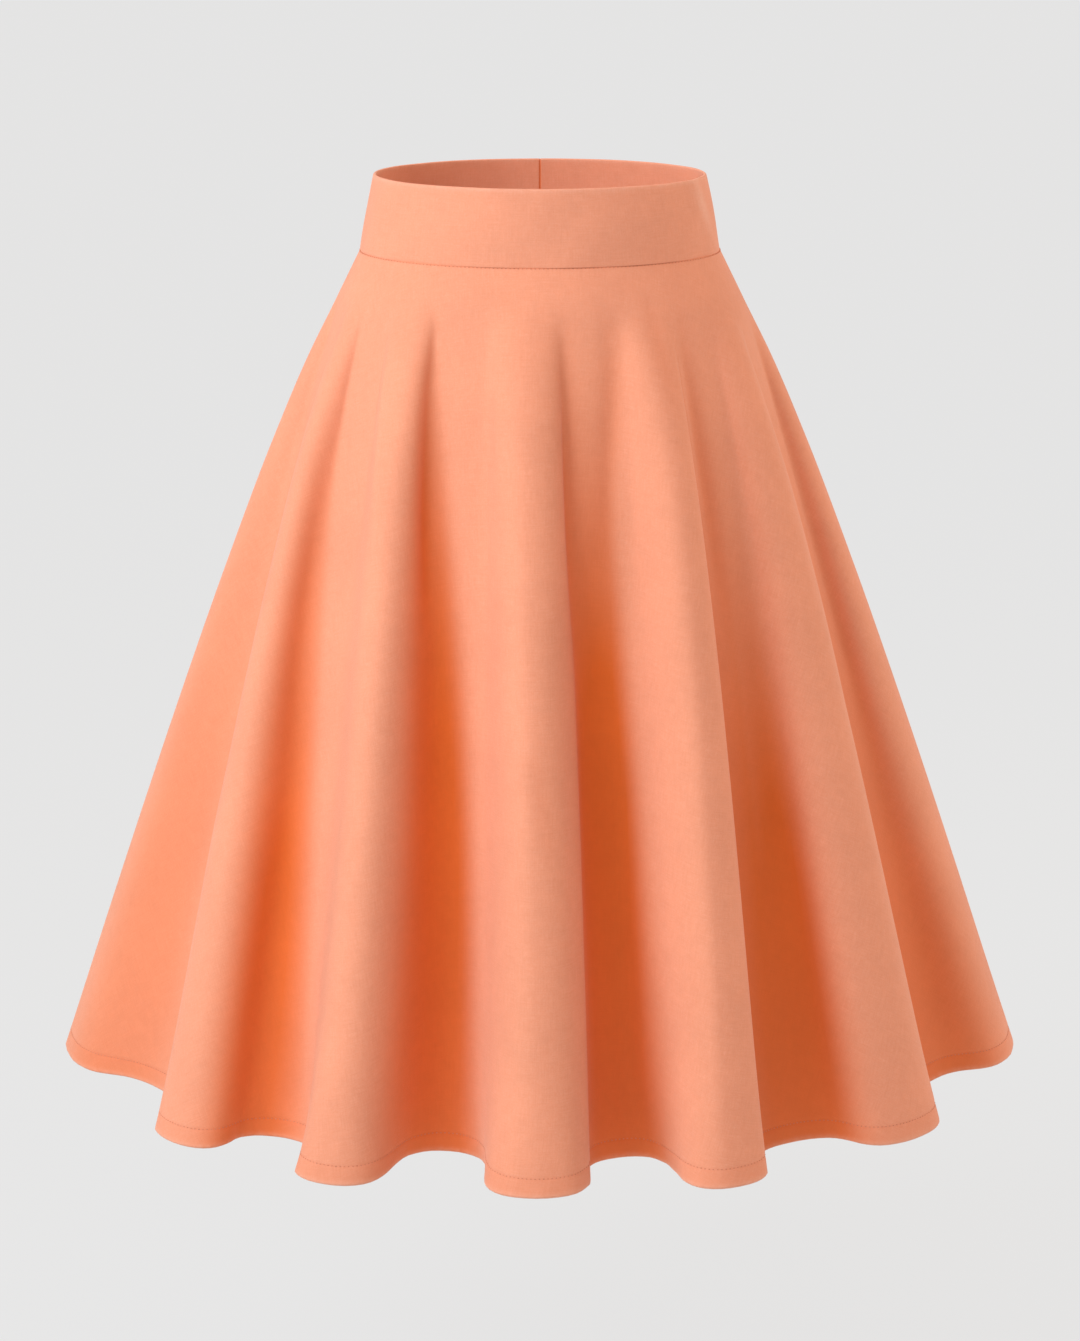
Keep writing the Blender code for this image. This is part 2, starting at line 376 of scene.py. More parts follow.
def hand_ripple(phase, share, height):
    """Uneven ease in the cloth: slow sines that swell down the skirt, and a beating one at the hem's turn."""
    around, down = 2 * np.pi * phase, 2 * np.pi * share
    beat = 1 - ROPE_UNEVEN + ROPE_UNEVEN * np.sin(ROPE_BEAT * around)
    rope = ROPE_SIZE * np.sin(ROPE_WAVES * around + ROPE_START) * beat
    return wavy(EASE_WAVES, around, down) * share + rope * soft_mark(height, ROPE_REACH)


def painted_fold_shade(phase, share, fold_depth):
    """How much painted shade, a darker and richer colour, a place in a fold has.

    Across a fold it is the exponential of minus the fourth power of the way from the shaded band's middle over
    its width. It grows with the cube of the fold's depth. Where the band lies, how wide it is and how strong
    go with the sine and cosine of the valley's own angle from the front.
    """
    valley = np.radians(Fold(*np.array(FOLDS).T).valley_hem[np.floor(phase).astype(int) % len(FOLDS)])
    aside = np.sin(valley)
    place = between(*SHADE_PLACE, aside) - SHADE_LEAN * (1 - share) ** 2
    width = between(*SHADE_WIDTH, aside) * between(SHADE_NARROW, 1, np.sqrt(np.clip(share, 0, 1)))
    band = np.exp(-(((phase % 1 - place) / width) ** 4))
    deep = 1 - np.exp(-((fold_depth / FULL_DEPTH) ** 3))
    shaded = (1 - LIT_SIDE * np.minimum(aside, 0) ** 4) * between(SIDE_FOLDS, 1.0, np.cos(valley))
    return band * deep * shaded


def seam_spaced(first, last, columns_a_fold):
    """Places round the skirt between two seams, evenly apart, with a few more close to each seam."""
    even = np.linspace(first, last, round((last - first) * columns_a_fold) + 1)[1:-1]
    close = np.array(SEAM_COLUMNS)
    return np.concatenate([[first], first + close, even, last - close[::-1], [last]])


def flat_cut(run, slant):
    """The ring segment that the cloth was cut from: its inner radius, and the angle it spans."""
    inner = run[0, -1] * slant / (run[-1, -1] - run[0, -1])
    return inner, run[-1, -1] / (inner + slant)


def panel_shares(height, turn):
    """A panel's rows as shares of its height, closer together at the waist seam and at the hem."""
    edge = 1 - turn / height
    waist = np.array(WAIST_ROWS) * SEAM_TUCK / height
    hem = edge - np.arange(HEM_ROWS, 0, -1) * HEM_ROW / height
    plain = np.linspace(waist[-1], hem[0], PANEL_ROWS)[1:-1]
    return np.concatenate([waist, plain, hem, [edge]])[:, None]


def turned_hem(face, normal, hem_line, turn):
    """The turn of the hem and the turn-up inside it, and the way outwards at each point.

    The turn is a half circle square to the panel's edge. The turn-up is the face's own last rows, from the
    edge back to the line of stitches, moved inwards by two radii.
    """
    down = face[-1] - face[-2]
    down = down / np.linalg.norm(down, axis=-1, keepdims=True)
    bend = np.linspace(0, np.pi, TURN_ROWS + 1)[1:-1, None, None]
    turned = face[-1] + turn * (np.sin(bend) * down - (1 - np.cos(bend)) * normal[-1])
    inside = (face - 2 * turn * normal)[hem_line:][::-1]
    outwards = [np.sin(bend) * down + np.cos(bend) * normal[-1], -normal[hem_line:][::-1]]
    return turned, inside, outwards


def panel_grid(first_seam, last_seam, sizes):
    """A panel's cloth as rows of points, from inside the waist seam down to the hem and up again inside it.

    The outer face is the folded cloth, moved along its normals by the creases, the ripple and the ditches
    of its seams. Above the waist seam it goes in behind the band. The flat cut lays its rows on arcs of one
    ring segment. The fold mark is painted shade, a darker and richer colour low in the folds, with more in
    troughs, ditches and the doubled hem, and a little less of it all low down. The wear mark is the hem's
    edge.
    """
    turn, turn_up = sizes.turn_radius, sizes.hem_turn_up
    height = HEM.drop - BAND_FOOT.drop
    share = panel_shares(height, turn)
    phase = seam_spaced(first_seam, last_seam, COLUMNS_A_FOLD)[None, :]
    face, fold_depth = folded_cloth(phase, share, sizes.waist_step)
    metres_a_fold = run_along(face)[:, -1:] / (last_seam - first_seam)
    below_seam = share * height
    above_hem = (share[-1] - share) * height
    to_side = np.minimum(phase - first_seam, last_seam - phase) * metres_a_fold
    creases = crease_height(phase, share, metres_a_fold)
    lift = creases + hand_ripple(phase, share, above_hem)
    lift = lift - DITCH_DEPTH * soft_mark(to_side, DITCH_WIDTH)
    lift = lift - WAIST_DITCH_DEPTH * soft_mark(np.maximum(below_seam, 0), WAIST_DITCH_WIDTH)
    lift = lift - SEAM_DIP * np.clip(-below_seam / SEAM_TUCK, 0, 1)
    lift = lift - STITCH_DITCH_DEPTH * soft_mark(above_hem - turn_up, STITCH_DITCH_WIDTH)
    normal = outward_normals(face)
    face = face + lift[..., None] * normal
    hem_line = int(np.argmin(np.abs(above_hem[:, 0] - turn_up)))
    turned, inside, hem_outwards = turned_hem(face, normal, hem_line, turn)
    grid = np.concatenate([face, turned, inside])
    outwards = np.concatenate([normal, *hem_outwards])

    rows_inside = len(turned) + len(inside)
    run = run_along(face)
    slant = np.linalg.norm(np.diff(face, axis=0), axis=-1).sum(axis=0).mean()
    inner, spans = flat_cut(run, slant)
    radius = inner + np.concatenate([share[:, 0], np.ones(rows_inside)]) * slant
    radius[len(face):] += np.arange(1, rows_inside + 1) * HEM_ROW
    last = np.repeat(run[-1:] / run[-1, -1], rows_inside, axis=0)
    turn_of = (np.concatenate([run / run[:, -1:], last]) - 0.5) * spans
    flat = np.stack([radius[:, None] * np.sin(turn_of), -radius[:, None] * np.cos(turn_of)], axis=-1)
    outer_radius = inner + slant + turn_up
    cut = (2 * outer_radius * np.sin(spans / 2), outer_radius - inner * np.cos(spans / 2))
    area = spans * (outer_radius**2 - inner**2) / 2

    # Painted shade: fold floors, crease troughs and seam ditches get the darker fold colour, the doubled hem
    # some.
    doubled = 1 / (1 + np.exp((above_hem - turn_up) / HEM_EDGE_SOFTNESS))
    ditch = SEAM_SHADE * soft_mark(np.minimum(np.abs(below_seam), to_side), DITCH_WIDTH)
    painted_shade = painted_fold_shade(phase, share, fold_depth) - np.minimum(creases, 0) / FULL_CREASE
    painted_shade = painted_shade + HEM_DARKENING * doubled + ditch
    painted_shade = np.clip(painted_shade, 0, 1) * (1 - HEM_LOSS * share**4)
    painted_shade = np.concatenate([painted_shade, np.repeat(painted_shade[-1:], rows_inside, axis=0)])
    worn = [soft_mark(above_hem[:, 0], WORN_REACH), np.ones(len(turned)), np.zeros(len(inside))]
    worn = np.concatenate(worn)[:, None] + 0 * painted_shade
    stitch_rows = {
        "hem": (face[hem_line], normal[hem_line]),
        "waist": (face[WAIST_STITCH_ROW], normal[WAIST_STITCH_ROW]),
    }
    return grid, outwards, flat, {"fold_depth": painted_shade, "worn": worn}, cut, area, stitch_rows


def band_path(sizes):
    """The band's section as drops below the rim and depths inside its face.

    It starts with a quarter circle at the pressed foot, goes straight up the face, over the rim in a half
    circle and straight down inside.
    """
    turn, foot = sizes.turn_radius, BAND_FOOT.drop
    roll = np.linspace(np.pi / 2, 0, FOOT_ROWS)
    roll_drop = foot - sizes.foot_roll * (1 - np.sin(roll))
    roll_in = sizes.foot_roll * (1 - np.cos(roll))
    face_drop = np.linspace(roll_drop[-1], turn, BAND_FACE_ROWS)[1:]
    bend = np.linspace(0, np.pi, 2 * TURN_ROWS + 1)[1:-1]
    inner_drop = np.linspace(turn, foot, BAND_FACE_ROWS)
    drop = np.concatenate([roll_drop, face_drop, turn - turn * np.sin(bend), inner_drop])
    depth = np.concatenate([roll_in, 0 * face_drop, turn * (1 - np.cos(bend)), 2 * turn + 0 * inner_drop])
    return drop, depth


def band_relief(angle, share, swell):
    """How far the band stands out: a half sine of its height, slow sines, and a ridge, a bell across."""
    ridge = soft_mark(angle - BAND_RIDGE.angle - BAND_RIDGE.lean * share, BAND_RIDGE.width)
    ridge = BAND_RIDGE.height * ridge * np.clip(BAND_RIDGE.foot - share, 0, 1)
    return swell * np.sin(np.pi * np.clip(share, 0, 1)) + wavy(BAND_WAVES, angle, share) + ridge


def band_grid(sizes):
    """The waistband's strip, as rows of points that run down outside, with its two ends at centre back.

    At each place of its section the ring is the ellipse of its height, moved in by the section's own depth
    and out by the relief, and drawn in where the ends meet. The flat cut is the way round by the way along
    the section. The fold mark is painted shade along the seam of the ends, and the wear and highlight mark
    is the rim's wear and one pale patch of painted highlight.
    """
    drop, depth = band_path(sizes)
    path = np.concatenate([[0.0], np.cumsum(np.hypot(np.diff(drop), np.diff(depth)))])
    drop, depth = drop[:, None], depth[:, None]
    angle = seam_spaced(-np.pi, np.pi, BAND_COLUMNS / (2 * np.pi))[None, :]
    share = drop / BAND_FOOT.drop
    half_width = between(RIM.half_width, BAND_FOOT.half_width, share)
    half_depth = between(RIM.half_depth, BAND_FOOT.half_depth, share)
    relief = band_relief(angle, share, sizes.band_swell)
    x, y = on_ring(half_width, half_depth, angle, relief - depth)
    plain = np.stack([x, y, -drop + 0 * angle], axis=-1)[::-1]
    outwards = outward_normals(plain)
    ends = outwards[:, 0] + outwards[:, -1]
    outwards[:, 0] = outwards[:, -1] = ends / np.linalg.norm(ends, axis=-1, keepdims=True)
    to_end = (np.pi - np.abs(angle)) * (RIM.half_width + RIM.half_depth) / 2
    # The ends' seam: a ditch in the shape, and painted shade in the fold mark.
    seam = soft_mark(to_end, DITCH_WIDTH)
    grid = plain - (BAND_END_DITCH * seam)[..., None] * outwards

    across = run_along(grid[-1:])
    flat = np.stack([across + 0 * drop, path[:, None] + 0 * angle], axis=-1)[::-1]
    # Painted highlight: a pale patch near the band's right end, added to the rim's wear mark.
    highlight = soft_mark(angle - HIGHLIGHT_PATCH.angle - HIGHLIGHT_PATCH.lean * share, HIGHLIGHT_PATCH.width)
    highlight = HIGHLIGHT_PATCH.strength * highlight * soft_mark(share - HIGHLIGHT_PATCH.middle, HIGHLIGHT_PATCH.reach)
    worn = (soft_mark(drop - sizes.turn_radius / 2, WORN_REACH) + highlight)[::-1]
    cut = (across[0, -1], path[-1])
    return grid, outwards, flat, {"fold_depth": seam + 0 * drop, "worn": worn}, cut


def quads_of(rows, columns):
    """Four corners for each face of a grid, wound to face outwards where rows run down, columns right."""
    number = np.arange(rows * columns).reshape(rows, columns)
    corners = [number[:-1, :-1], number[1:, :-1], number[1:, 1:], number[:-1, 1:]]
    return np.stack(corners, axis=-1).reshape(-1, 4)


def cloth_mesh(name, grid, outwards, wall, flat, marks):
    """A sheet of cloth with its thickness, closed all round.

    The outer face is the grid. The inner face is the same grid moved back along its outward normals by the
    wall, with its faces turned over, and a strip of faces round the border joins the two. The flat cut is the
    UV map, and the marks are attributes that the materials read.
    """
    rows, columns = grid.shape[:2]
    number = np.arange(rows * columns).reshape(rows, columns)
    count = rows * columns
    outer = quads_of(rows, columns)
    ring = np.concatenate([number[0], number[1:, -1], number[-1, -2::-1], number[-2:0:-1, 0]])
    after = np.roll(ring, -1)
    border = np.stack([ring, after, after + count, ring + count], axis=-1)
    faces = np.concatenate([outer, outer[:, ::-1] + count, border])
    points = np.concatenate([grid.reshape(-1, 3), (grid - wall * outwards).reshape(-1, 3)])
    mesh = bpy.data.meshes.new(name)
    mesh.from_pydata(points.tolist(), [], faces.tolist())
    smooth = np.arange(len(faces)) < 2 * len(outer)
    mesh.polygons.foreach_set("use_smooth", smooth)
    inside = (np.arange(len(faces)) >= len(outer)) & smooth
    mesh.polygons.foreach_set("material_index", inside.astype(np.int32))
    cut = mesh.uv_layers.new(name="flat_cut")
    cut.data.foreach_set("uv", flat.reshape(-1, 2)[faces.ravel() % count].ravel())
    for mark, values in marks.items():
        attribute = mesh.attributes.new(mark, "FLOAT", "POINT")
        attribute.data.foreach_set("value", np.tile(values.astype(np.float32).ravel(), 2))
    return mesh


def add_piece(name, mesh, materials, replaced=()):
    """Puts a mesh in the scene as a piece of the skirt's one body, in place of the solids it replaces."""
    piece = bpy.data.objects.new(name, mesh)
    bpy.context.scene.collection.objects.link(piece)
    for material in materials:
        mesh.materials.append(material)
    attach(piece, "root")
    if replaced:
        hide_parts(*replaced)
    return piece


def stitch_shape(sizes):
    """One stitch along its own axes: three rings of a tube squashed towards the cloth, then its two tips."""
    turn = np.arange(STITCH_SIDES) * 2 * np.pi / STITCH_SIDES
    along = np.array(STITCH_RING_PLACES)[:, None] * sizes.stitch_length + 0 * turn
    girth = np.array(STITCH_RING_GIRTHS)[:, None] * sizes.stitch_width / 2
    tube = np.stack([along, girth * np.sin(turn) * STITCH_SQUASH, girth * np.cos(turn)], axis=-1)
    tips = np.array([[-0.5, 0, 0], [0.5, 0, 0]]) * sizes.stitch_length
    return np.concatenate([tube.reshape(-1, 3), tips])


def stitch_faces():
    """The corners of one stitch's faces: four to a face between its rings, and three at its tips."""
    ring = np.arange(STITCH_SIDES)
    after = (ring + 1) % STITCH_SIDES
    first_tip, last_tip = 3 * STITCH_SIDES, 3 * STITCH_SIDES + 1
    sides = []
    for low in (0, STITCH_SIDES):
        high = low + STITCH_SIDES
        sides.append(np.stack([low + ring, low + after, high + after, high + ring], axis=-1))
    near = np.stack([after, ring, first_tip + 0 * ring], axis=-1)
    far = np.stack([2 * STITCH_SIDES + ring, 2 * STITCH_SIDES + after, last_tip + 0 * ring], axis=-1)
    return np.concatenate(sides), np.concatenate([near, far])


def stitch_line(points, normals, sizes):
    """One small rounded thread for each stitch along a row of points.

    Each point of a stitch is its place on the row, lifted off the cloth, plus the stitch's shape along three
    axes: along the row, outwards square to that, and aside.
    """
    steps = np.linalg.norm(np.diff(points, axis=0), axis=-1)
    run = np.concatenate([[0.0], np.cumsum(steps)])
    count = int(run[-1] / sizes.stitch_pitch)
    middle = (np.arange(count) + 0.5) * run[-1] / count

    def on_row(way, table):
        return np.stack([np.interp(way, run, table[:, axis]) for axis in range(3)], axis=-1)

    along = on_row(middle + STITCH_REACH, points) - on_row(middle - STITCH_REACH, points)
    along = along / np.linalg.norm(along, axis=-1, keepdims=True)
    out = on_row(middle, normals)
    out = out - (out * along).sum(axis=-1, keepdims=True) * along
    out = out / np.linalg.norm(out, axis=-1, keepdims=True)
    axes = np.stack([along, out, np.cross(out, along)], axis=1)
    place = on_row(middle, points) + out * sizes.stitch_width * STITCH_LIFT
    shape = stitch_shape(sizes)
    places = place[:, None] + shape @ axes
    start = np.arange(count)[:, None, None] * len(shape)
    faces = []
    for corners in stitch_faces():
        faces += (corners + start).reshape(-1, corners.shape[-1]).tolist()
    return places.reshape(-1, 3), faces


def new_group(name, inputs, outputs):
    """An empty node group with named inputs and outputs, and its two end nodes."""
    group = bpy.data.node_groups.new(name, "ShaderNodeTree")
    for title, kind, default in inputs:
        socket = group.interface.new_socket(title, in_out="INPUT", socket_type=kind)
        if default is not None:
            socket.default_value = default
    for title, kind in outputs:
        group.interface.new_socket(title, in_out="OUTPUT", socket_type=kind)
    return group, group.nodes.new("NodeGroupInput"), group.nodes.new("NodeGroupOutput")


def wire(tree, value, target):
    """Feeds a socket from another socket, or sets it to a plain value."""
    if isinstance(value, bpy.types.NodeSocket):
        tree.links.new(value, target)
    else:
        target.default_value = value


def calculate(tree, operation, *values):
    """A Math node on sockets or plain numbers."""
    node = tree.nodes.new("ShaderNodeMath")
    node.operation = operation
    for place, value in enumerate(values):
        wire(tree, value, node.inputs[place])
    return node.outputs[0]


def blend_colours(tree, way, amount, first, second):
    """A Mix node on two colours."""
    node = tree.nodes.new("ShaderNodeMix")
    node.data_type = "RGBA"
    node.blend_type = way
    wire(tree, amount, node.inputs["Factor"])
    wire(tree, first, node.inputs["A"])
    wire(tree, second, node.inputs["B"])
    return node.outputs["Result"]


def vary(tree, mask, amount):
    """A factor that goes with a mask, from half the amount below one to half the amount above it."""
    return calculate(tree, "MULTIPLY_ADD", mask, amount, 1 - amount / 2)


def add_noise(tree, vector, scale, detail=2.0):
    """Soft cloudy noise from nothing to one, of a scale in clouds a metre."""
    node = tree.nodes.new("ShaderNodeTexNoise")
    node.inputs["Scale"].default_value = scale
    node.inputs["Detail"].default_value = detail
    tree.links.new(vector, node.inputs["Vector"])
    return node.outputs["Fac"]


def plain_weave_group():
    """Threads over and under each other: two sines' product is the crossings, and long noise the slubs."""
    group, given, made = new_group(
        "plain_weave",
        [("Flat Cut", "NodeSocketVector", None), ("Thread Pitch", "NodeSocketFloat", 0.0006)],
        [("Height", "NodeSocketFloat"), ("Slub", "NodeSocketFloat")],
    )
    split = group.nodes.new("ShaderNodeSeparateXYZ")
    group.links.new(given.outputs["Flat Cut"], split.inputs[0])
    turns = calculate(group, "DIVIDE", 2 * np.pi, given.outputs["Thread Pitch"])
    waves = []
    for axis in (0, 1):
        turned = calculate(group, "MULTIPLY", split.outputs[axis], turns)
        waves.append(calculate(group, "SINE", turned))
    crossing = calculate(group, "MULTIPLY", *waves)
    height = calculate(group, "MULTIPLY_ADD", crossing, 0.5, 0.5)
    slubs = []
    for across, along in SLUB_STRETCHES:
        stretch = group.nodes.new("ShaderNodeMapping")
        stretch.inputs["Scale"].default_value = (across, along, 1.0)
        group.links.new(given.outputs["Flat Cut"], stretch.inputs["Vector"])
        slubs.append(add_noise(group, stretch.outputs["Vector"], 1.0))
    slub = calculate(group, "MULTIPLY", calculate(group, "ADD", *slubs), 0.5)
    group.links.new(calculate(group, "MULTIPLY_ADD", slub, SLUB_HEIGHT, height), made.inputs["Height"])
    group.links.new(slub, made.inputs["Slub"])
    return group


def cloth_tone_group():
    """The dyed cloth's colour and roughness.

    Pale fibres lie over the dye, both give way to painted shade, a darker richer colour low in a fold,
    slubs and mottles vary the shade of it all, and edges with wear, and a painted highlight patch on the band,
    show fibre again.
    """
    group, given, made = new_group(
        "cloth_tone",
        [
            ("Place", "NodeSocketVector", None),
            ("Dye", "NodeSocketColor", (0.9, 0.4, 0.25, 1.0)),
            ("Fold Dye", "NodeSocketColor", (0.8, 0.2, 0.08, 1.0)),
            ("Fibre", "NodeSocketColor", (1.0, 0.66, 0.56, 1.0)),
            ("Fold Depth", "NodeSocketFloat", 0.0),
            ("Worn", "NodeSocketFloat", 0.0),
            ("Slub", "NodeSocketFloat", 0.5),
        ],
        [("Colour", "NodeSocketColor"), ("Roughness", "NodeSocketFloat")],
    )
    place, slub = given.outputs["Place"], given.outputs["Slub"]
    fibre = calculate(group, "MULTIPLY", add_noise(group, place, FIBRE_SCALE), slub)
    fibre = calculate(group, "MULTIPLY", fibre, FIBRE_SHARE)
    fibred = blend_colours(group, "MIX", fibre, given.outputs["Dye"], given.outputs["Fibre"])
    # Painted shade: the fold mark mixes in the darker fold colour.
    dyed = blend_colours(group, "MIX", given.outputs["Fold Depth"], fibred, given.outputs["Fold Dye"])
    shade = vary(group, slub, SLUB_SHADE)
    for mottle in MOTTLES:
        patches = vary(group, add_noise(group, place, mottle.scale, 3.0), mottle.amount)
        shade = calculate(group, "MULTIPLY", shade, patches)
    tint = group.nodes.new("ShaderNodeCombineColor")
    for channel in range(3):
        group.links.new(shade, tint.inputs[channel])
    toned = blend_colours(group, "MULTIPLY", 1.0, dyed, tint.outputs[0])
    # Edges with wear, and the band's painted highlight patch, mix in pale fibre.
    fuzz = calculate(group, "MULTIPLY", given.outputs["Worn"], add_noise(group, place, FUZZ_SCALE))
    fuzz = calculate(group, "MULTIPLY", fuzz, FUZZ_SHARE)
    group.links.new(blend_colours(group, "MIX", fuzz, toned, given.outputs["Fibre"]), made.inputs["Colour"])
    rough = calculate(group, "MULTIPLY_ADD", slub, SLUB_ROUGHNESS, CLOTH_ROUGHNESS)
    group.links.new(rough, made.inputs["Roughness"])
    return group


def node_group(name, make):
    """The node group of that name, made when it is first asked for."""
    return bpy.data.node_groups.get(name) or make()


def mark_of(tree, name):
    """The mark that a piece's points carry under a name."""
    node = tree.nodes.new("ShaderNodeAttribute")
    node.attribute_name = name
    return node.outputs["Fac"]


def new_material(name):
    """An empty material, its node tree and its shader."""
    material = bpy.data.materials.new(name)
    material.use_nodes = True
    return material, material.node_tree, material.node_tree.nodes["Principled BSDF"]


def add_bump(tree, shader, height, strength, distance):
    """Feeds a shader's normal from a height, in metres at full strength."""
    bump = tree.nodes.new("ShaderNodeBump")
    bump.inputs["Strength"].default_value = strength
    bump.inputs["Distance"].default_value = distance
    tree.links.new(height, bump.inputs["Height"])
    tree.links.new(bump.outputs["Normal"], shader.inputs["Normal"])


def cloth_material(name, dye, fold_share, colours):
    """Plain woven cloth of a dye, with its share of painted shade in a darker colour low in the folds."""
    if name in bpy.data.materials:
        return bpy.data.materials[name]
    material, tree, shader = new_material(name)
    shader.inputs["Sheen Weight"].default_value = colours.sheen
    shader.inputs["Sheen Roughness"].default_value = 0.45
    shader.inputs["Sheen Tint"].default_value = (1.0, 0.88, 0.82, 1.0)
    shader.inputs["Specular IOR Level"].default_value = 0.25
    cut = tree.nodes.new("ShaderNodeUVMap")
    cut.uv_map = "flat_cut"
    weave = tree.nodes.new("ShaderNodeGroup")
    weave.node_tree = node_group("plain_weave", plain_weave_group)
    weave.inputs["Thread Pitch"].default_value = colours.thread_pitch
    tree.links.new(cut.outputs["UV"], weave.inputs["Flat Cut"])
    place = tree.nodes.new("ShaderNodeTexCoord")
    tone = tree.nodes.new("ShaderNodeGroup")
    tone.node_tree = node_group("cloth_tone", cloth_tone_group)
    tone.inputs["Dye"].default_value = (*dye, 1.0)
    tone.inputs["Fold Dye"].default_value = (*colours.fold_shade_colour, 1.0)
    tone.inputs["Fibre"].default_value = (*colours.fibre, 1.0)
    tree.links.new(place.outputs["Object"], tone.inputs["Place"])
    tree.links.new(weave.outputs["Slub"], tone.inputs["Slub"])
    depth = calculate(tree, "MULTIPLY", mark_of(tree, "fold_depth"), fold_share)
    tree.links.new(depth, tone.inputs["Fold Depth"])
    tree.links.new(mark_of(tree, "worn"), tone.inputs["Worn"])
    add_bump(tree, shader, weave.outputs["Height"], 0.5, 0.00016)
    tree.links.new(tone.outputs["Colour"], shader.inputs["Base Color"])
    tree.links.new(tone.outputs["Roughness"], shader.inputs["Roughness"])
    return material


def thread_material(colours):
    """Sewing thread: dyed like the cloth, with the fine slanting plies of its twist as bump."""
    name = "sewing_thread"
    if name in bpy.data.materials:
        return bpy.data.materials[name]
    material, tree, shader = new_material(name)
    shader.inputs["Sheen Weight"].default_value = 0.2
    place = tree.nodes.new("ShaderNodeTexCoord")
    plies = tree.nodes.new("ShaderNodeTexWave")
    plies.bands_direction = "DIAGONAL"
    plies.inputs["Scale"].default_value = 900.0
    plies.inputs["Distortion"].default_value = 1.0
    tree.links.new(place.outputs["Object"], plies.inputs["Vector"])
    fibre = add_noise(tree, place.outputs["Object"], 500.0)
    # The thread's dark colour is its own, and partly painted shade of the needle holes.
    dyed = blend_colours(tree, "MIX", fibre, (*colours.thread, 1.0), (*colours.dye, 1.0))
    rough = calculate(tree, "MULTIPLY_ADD", fibre, 0.2, 0.5)
    add_bump(tree, shader, plies.outputs["Fac"], 0.4, 0.0001)
    tree.links.new(dyed, shader.inputs["Base Color"])
    tree.links.new(rough, shader.inputs["Roughness"])
    return material


def stage_material(light):
    """Pale paper backdrop, lit evenly enough to have no edge: part paint, part its own glow."""
    material, tree, shader = new_material("pale_backdrop")
    place = tree.nodes.new("ShaderNodeTexCoord")
    grain = vary(tree, add_noise(tree, place.outputs["Object"], 3.0), 0.03)
    paint = tree.nodes.new("ShaderNodeCombineColor")
    for channel, share in enumerate(light.backdrop_paint):
        tree.links.new(calculate(tree, "MULTIPLY", grain, share), paint.inputs[channel])
    tree.links.new(paint.outputs[0], shader.inputs["Base Color"])
    shader.inputs["Roughness"].default_value = 0.9
    shader.inputs["Specular IOR Level"].default_value = 0.0
    shader.inputs["Emission Color"].default_value = (1.0, 1.0, 1.0, 1.0)
    shader.inputs["Emission Strength"].default_value = light.backdrop_glow
    return material


class SkirtSizes(bpy.types.PropertyGroup):
    """Sizes of the cloth and its sewing."""

    cloth_wall: FloatProperty(
        name="Cloth Wall", description="Thickness of one layer", default=0.0008, unit="LENGTH"
    )
    turn_radius: FloatProperty(
        name="Turn Radius", description="Radius of the turn at rim and hem", default=0.0012, unit="LENGTH"
    )
    hem_turn_up: FloatProperty(
        name="Hem Turn-Up", description="Height of the cloth turned up inside", default=0.012, unit="LENGTH"
    )
    band_swell: FloatProperty(
        name="Band Swell", description="How far the band's faces bow outwards", default=0.0006, unit="LENGTH"
    )
    foot_roll: FloatProperty(
        name="Foot Roll", description="Radius of the band's pressed lower edge", default=0.0003, unit="LENGTH"
    )
    waist_step: FloatProperty(
        name="Waist Step", description="How far the panels lie below the band", default=0.0001, unit="LENGTH"
    )
    stitch_length: FloatProperty(
        name="Stitch Length", description="Length of a stitch that shows", default=0.0013, unit="LENGTH"
    )
    stitch_pitch: FloatProperty(
        name="Stitch Pitch", description="Distance from one stitch to the next", default=0.0031, unit="LENGTH"
    )
    stitch_width: FloatProperty(
        name="Thread Width", description="Thickness of the sewing thread", default=0.0008, unit="LENGTH"
    )


class SkirtColours(bpy.types.PropertyGroup):
    """Colours and weave of the cloth."""

    dye: FloatVectorProperty(
        name="Dye", description="The cloth's own colour", default=(0.825, 0.331, 0.198), subtype="COLOR"
    )
    # Painted shade: the darker, richer colour that fold floors are painted with.
    fold_shade_colour: FloatVectorProperty(
        name="Fold Dye", description="Its colour low in a fold", default=(0.73, 0.155, 0.024), subtype="COLOR"
    )
    inner_dye: FloatVectorProperty(
        name="Inner Dye", description="The panels' inner side", default=(0.74, 0.32, 0.19), subtype="COLOR"
    )
    # Painted shade: the band's inside is the same cloth, given a darker colour.
    band_inside_shade: FloatVectorProperty(
        name="Band Inside Shade", description="The band's inside", default=(0.50, 0.30, 0.185), subtype="COLOR"
    )
    fibre: FloatVectorProperty(
        name="Fibre", description="Pale fibre on the threads", default=(0.94, 0.68, 0.58), subtype="COLOR"
    )
    # Darker than the cloth: the thread's own colour, and partly painted shade of its needle holes.
    thread: FloatVectorProperty(
        name="Thread", description="The sewing thread's colour", default=(0.46, 0.13, 0.055), subtype="COLOR"
    )
    sheen: FloatProperty(
        name="Sheen", description="Strength of the soft sheen", default=0.25, min=0.0, max=1.0
    )
    thread_pitch: FloatProperty(
        name="Thread Pitch", description="Size of the weave's repeat", default=0.0007, unit="LENGTH"
    )


